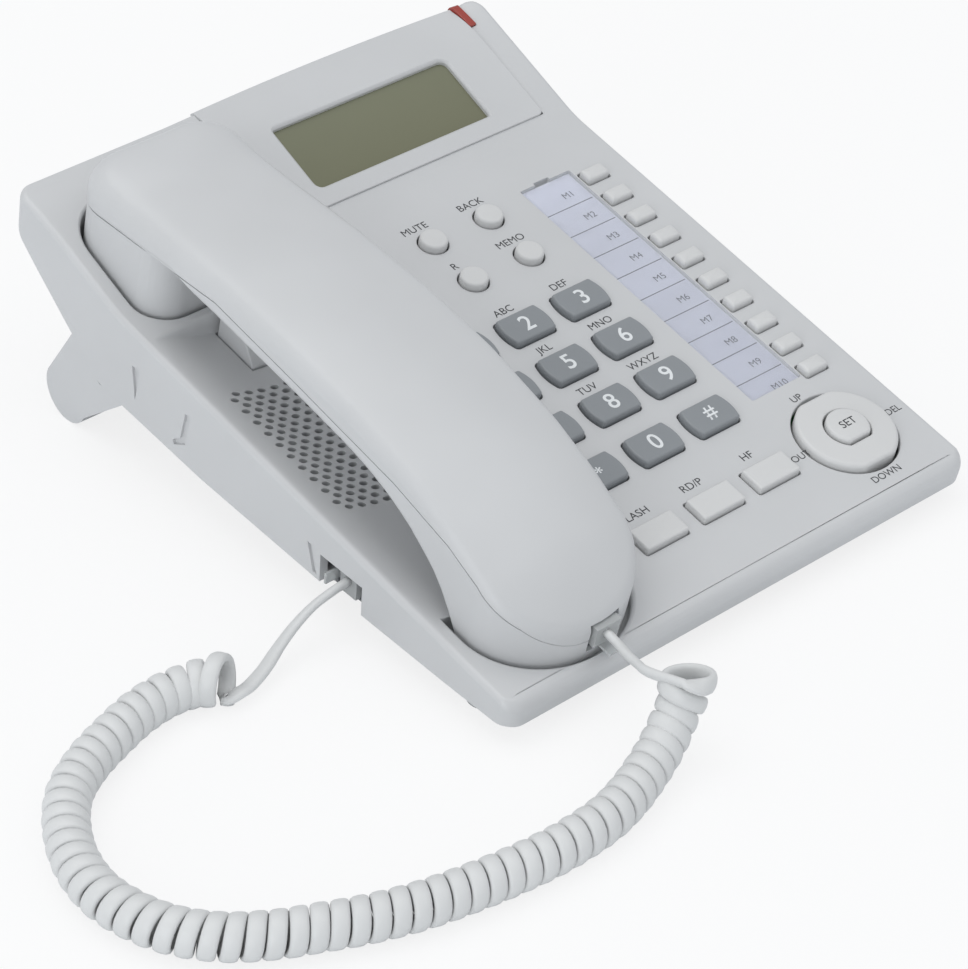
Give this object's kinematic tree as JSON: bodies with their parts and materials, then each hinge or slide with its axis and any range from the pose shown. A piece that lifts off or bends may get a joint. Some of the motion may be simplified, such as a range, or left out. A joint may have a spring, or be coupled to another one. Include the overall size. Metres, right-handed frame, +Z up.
{
  "type": "corded desk telephone",
  "caption": "White corded desk telephone with a cradled handset, curly cord, tilted display, dial, memory and direction keys, and a rear stand.",
  "frame": {"origin": "on the desk, under the middle of the base", "axes": "+X to the right of someone dialling, +Y towards the display end, +Z up"},
  "size_m": [0.2617, 0.2309, 0.0751],
  "materials": {
    "white_plastic": "fine moulded texture",
    "grey_key": "satin",
    "rubber": "matte",
    "battery": "printed sleeve",
    "steel": "zinc plated",
    "window": "clear over the display",
    "display": "liquid crystal cell",
    "lamp": "translucent red",
    "card": "printed card",
    "clear_plastic": "clear",
    "board": "circuit board laminate",
    "speaker": "black",
    "dark_plastic": "black"
  },
  "bodies": {
    "base": {"upper_case": "white_plastic", "lower_cover": "white_plastic", "desk_stand": "white_plastic", "rubber_feet": "rubber", "batteries": "battery", "case_screws": "steel", "display_panel": "white_plastic", "display_window": "window", "display_module": "display", "ring_lamp": "lamp", "index_card": "card", "key_mat": "rubber", "main_board": "board", "loudspeaker": "speaker", "modular_jacks": "dark_plastic", "base_plug": "clear_plastic", "base_tail": "white_plastic", "cord_coil": "white_plastic", "handset_tail": "white_plastic"},
    "handset": {"handset_back": "white_plastic", "handset_face": "white_plastic", "receiver_capsule": "speaker", "microphone_capsule": "speaker", "handset_socket": "dark_plastic", "handset_plug": "clear_plastic"},
    "hook_lever": {"hook_lever": "white_plastic"},
    "battery_door": {"battery_door": "white_plastic"},
    "index_cover": {"index_cover": "clear_plastic"},
    "pad_rocker": {"pad_rocker": "white_plastic"},
    "direction_pad": {"direction_pad": "white_plastic"},
    "set_key": {"set_key": "white_plastic"},
    "key_1": {"key_1": "grey_key"},
    "key_2": {"key_2": "grey_key"},
    "key_3": {"key_3": "grey_key"},
    "key_4": {"key_4": "grey_key"},
    "key_5": {"key_5": "grey_key"},
    "key_6": {"key_6": "grey_key"},
    "key_7": {"key_7": "grey_key"},
    "key_8": {"key_8": "grey_key"},
    "key_9": {"key_9": "grey_key"},
    "key_star": {"key_star": "grey_key"},
    "key_0": {"key_0": "grey_key"},
    "key_hash": {"key_hash": "grey_key"},
    "key_mute": {"key_mute": "white_plastic"},
    "key_back": {"key_back": "white_plastic"},
    "key_r": {"key_r": "white_plastic"},
    "key_memo": {"key_memo": "white_plastic"},
    "key_flash": {"key_flash": "white_plastic"},
    "key_redial": {"key_redial": "white_plastic"},
    "key_handsfree": {"key_handsfree": "white_plastic"},
    "memory_1": {"memory_1": "white_plastic"},
    "memory_2": {"memory_2": "white_plastic"},
    "memory_3": {"memory_3": "white_plastic"},
    "memory_4": {"memory_4": "white_plastic"},
    "memory_5": {"memory_5": "white_plastic"},
    "memory_6": {"memory_6": "white_plastic"},
    "memory_7": {"memory_7": "white_plastic"},
    "memory_8": {"memory_8": "white_plastic"},
    "memory_9": {"memory_9": "white_plastic"},
    "memory_10": {"memory_10": "white_plastic"}
  },
  "joints": [
    {"name": "pad_rock_front_back", "type": "hinge", "parent": "base", "child": "pad_rocker", "pos_m": [0.055, -0.07115, 0.01078], "axis": [1, 0, 0], "range_deg": [-2.4, 2.4], "stiffness_Nm_per_rad": 0.08},
    {"name": "pad_rock_sideways", "type": "hinge", "parent": "pad_rocker", "child": "direction_pad", "pos_m": [0.055, -0.07154, 0.01254], "axis": [0, 0.9763, 0.2164], "range_deg": [-2.4, 2.4], "stiffness_Nm_per_rad": 0.08},
    {"name": "set_press", "type": "slide", "parent": "direction_pad", "child": "set_key", "axis": [0, -0.2164, 0.9763], "range_m": [-0.001, 0], "stiffness_N_per_m": 400, "springref_m": 0.0005},
    {"name": "handset_lift", "type": "slide", "parent": "base", "child": "handset", "axis": [0, -0.2164, 0.9763], "range_m": [0, 0.1], "deforming": ["handset_tail"]},
    {"name": "hook_rise", "type": "slide", "parent": "base", "child": "hook_lever", "axis": [0, -0.2164, 0.9763], "range_m": [0, 0.005]},
    {"name": "battery_door_swing", "type": "hinge", "parent": "base", "child": "battery_door", "pos_m": [0.024, 0.01992, 0.01308], "axis": [-1, 0, 0], "range_deg": [0, 75]},
    {"name": "index_cover_lift", "type": "slide", "parent": "base", "child": "index_cover", "axis": [0, -0.2164, 0.9763], "range_m": [0, 0.03]},
    {"name": "key_1_press", "type": "slide", "parent": "base", "child": "key_1", "axis": [0, -0.2164, 0.9763], "range_m": [-0.001, 0], "stiffness_N_per_m": 400, "springref_m": 0.0005},
    {"name": "key_2_press", "type": "slide", "parent": "base", "child": "key_2", "axis": [0, -0.2164, 0.9763], "range_m": [-0.001, 0], "stiffness_N_per_m": 400, "springref_m": 0.0005},
    {"name": "key_3_press", "type": "slide", "parent": "base", "child": "key_3", "axis": [0, -0.2164, 0.9763], "range_m": [-0.001, 0], "stiffness_N_per_m": 400, "springref_m": 0.0005},
    {"name": "key_4_press", "type": "slide", "parent": "base", "child": "key_4", "axis": [0, -0.2164, 0.9763], "range_m": [-0.001, 0], "stiffness_N_per_m": 400, "springref_m": 0.0005},
    {"name": "key_5_press", "type": "slide", "parent": "base", "child": "key_5", "axis": [0, -0.2164, 0.9763], "range_m": [-0.001, 0], "stiffness_N_per_m": 400, "springref_m": 0.0005},
    {"name": "key_6_press", "type": "slide", "parent": "base", "child": "key_6", "axis": [0, -0.2164, 0.9763], "range_m": [-0.001, 0], "stiffness_N_per_m": 400, "springref_m": 0.0005},
    {"name": "key_7_press", "type": "slide", "parent": "base", "child": "key_7", "axis": [0, -0.2164, 0.9763], "range_m": [-0.001, 0], "stiffness_N_per_m": 400, "springref_m": 0.0005},
    {"name": "key_8_press", "type": "slide", "parent": "base", "child": "key_8", "axis": [0, -0.2164, 0.9763], "range_m": [-0.001, 0], "stiffness_N_per_m": 400, "springref_m": 0.0005},
    {"name": "key_9_press", "type": "slide", "parent": "base", "child": "key_9", "axis": [0, -0.2164, 0.9763], "range_m": [-0.001, 0], "stiffness_N_per_m": 400, "springref_m": 0.0005},
    {"name": "key_star_press", "type": "slide", "parent": "base", "child": "key_star", "axis": [0, -0.2164, 0.9763], "range_m": [-0.001, 0], "stiffness_N_per_m": 400, "springref_m": 0.0005},
    {"name": "key_0_press", "type": "slide", "parent": "base", "child": "key_0", "axis": [0, -0.2164, 0.9763], "range_m": [-0.001, 0], "stiffness_N_per_m": 400, "springref_m": 0.0005},
    {"name": "key_hash_press", "type": "slide", "parent": "base", "child": "key_hash", "axis": [0, -0.2164, 0.9763], "range_m": [-0.001, 0], "stiffness_N_per_m": 400, "springref_m": 0.0005},
    {"name": "key_mute_press", "type": "slide", "parent": "base", "child": "key_mute", "axis": [0, -0.2164, 0.9763], "range_m": [-0.001, 0], "stiffness_N_per_m": 400, "springref_m": 0.0005},
    {"name": "key_back_press", "type": "slide", "parent": "base", "child": "key_back", "axis": [0, -0.2164, 0.9763], "range_m": [-0.001, 0], "stiffness_N_per_m": 400, "springref_m": 0.0005},
    {"name": "key_r_press", "type": "slide", "parent": "base", "child": "key_r", "axis": [0, -0.2164, 0.9763], "range_m": [-0.001, 0], "stiffness_N_per_m": 400, "springref_m": 0.0005},
    {"name": "key_memo_press", "type": "slide", "parent": "base", "child": "key_memo", "axis": [0, -0.2164, 0.9763], "range_m": [-0.001, 0], "stiffness_N_per_m": 400, "springref_m": 0.0005},
    {"name": "key_flash_press", "type": "slide", "parent": "base", "child": "key_flash", "axis": [0, -0.2164, 0.9763], "range_m": [-0.001, 0], "stiffness_N_per_m": 400, "springref_m": 0.0005},
    {"name": "key_redial_press", "type": "slide", "parent": "base", "child": "key_redial", "axis": [0, -0.2164, 0.9763], "range_m": [-0.001, 0], "stiffness_N_per_m": 400, "springref_m": 0.0005},
    {"name": "key_handsfree_press", "type": "slide", "parent": "base", "child": "key_handsfree", "axis": [0, -0.2164, 0.9763], "range_m": [-0.001, 0], "stiffness_N_per_m": 400, "springref_m": 0.0005},
    {"name": "memory_1_press", "type": "slide", "parent": "base", "child": "memory_1", "axis": [0, -0.2164, 0.9763], "range_m": [-0.001, 0], "stiffness_N_per_m": 400, "springref_m": 0.0005},
    {"name": "memory_2_press", "type": "slide", "parent": "base", "child": "memory_2", "axis": [0, -0.2164, 0.9763], "range_m": [-0.001, 0], "stiffness_N_per_m": 400, "springref_m": 0.0005},
    {"name": "memory_3_press", "type": "slide", "parent": "base", "child": "memory_3", "axis": [0, -0.2164, 0.9763], "range_m": [-0.001, 0], "stiffness_N_per_m": 400, "springref_m": 0.0005},
    {"name": "memory_4_press", "type": "slide", "parent": "base", "child": "memory_4", "axis": [0, -0.2164, 0.9763], "range_m": [-0.001, 0], "stiffness_N_per_m": 400, "springref_m": 0.0005},
    {"name": "memory_5_press", "type": "slide", "parent": "base", "child": "memory_5", "axis": [0, -0.2164, 0.9763], "range_m": [-0.001, 0], "stiffness_N_per_m": 400, "springref_m": 0.0005},
    {"name": "memory_6_press", "type": "slide", "parent": "base", "child": "memory_6", "axis": [0, -0.2164, 0.9763], "range_m": [-0.001, 0], "stiffness_N_per_m": 400, "springref_m": 0.0005},
    {"name": "memory_7_press", "type": "slide", "parent": "base", "child": "memory_7", "axis": [0, -0.2164, 0.9763], "range_m": [-0.001, 0], "stiffness_N_per_m": 400, "springref_m": 0.0005},
    {"name": "memory_8_press", "type": "slide", "parent": "base", "child": "memory_8", "axis": [0, -0.2164, 0.9763], "range_m": [-0.001, 0], "stiffness_N_per_m": 400, "springref_m": 0.0005},
    {"name": "memory_9_press", "type": "slide", "parent": "base", "child": "memory_9", "axis": [0, -0.2164, 0.9763], "range_m": [-0.001, 0], "stiffness_N_per_m": 400, "springref_m": 0.0005},
    {"name": "memory_10_press", "type": "slide", "parent": "base", "child": "memory_10", "axis": [0, -0.2164, 0.9763], "range_m": [-0.001, 0], "stiffness_N_per_m": 400, "springref_m": 0.0005}
  ],
  "couplings": [
    {"joint": "hook_rise", "follows": "handset_lift", "ratio": 0.05}
  ]
}
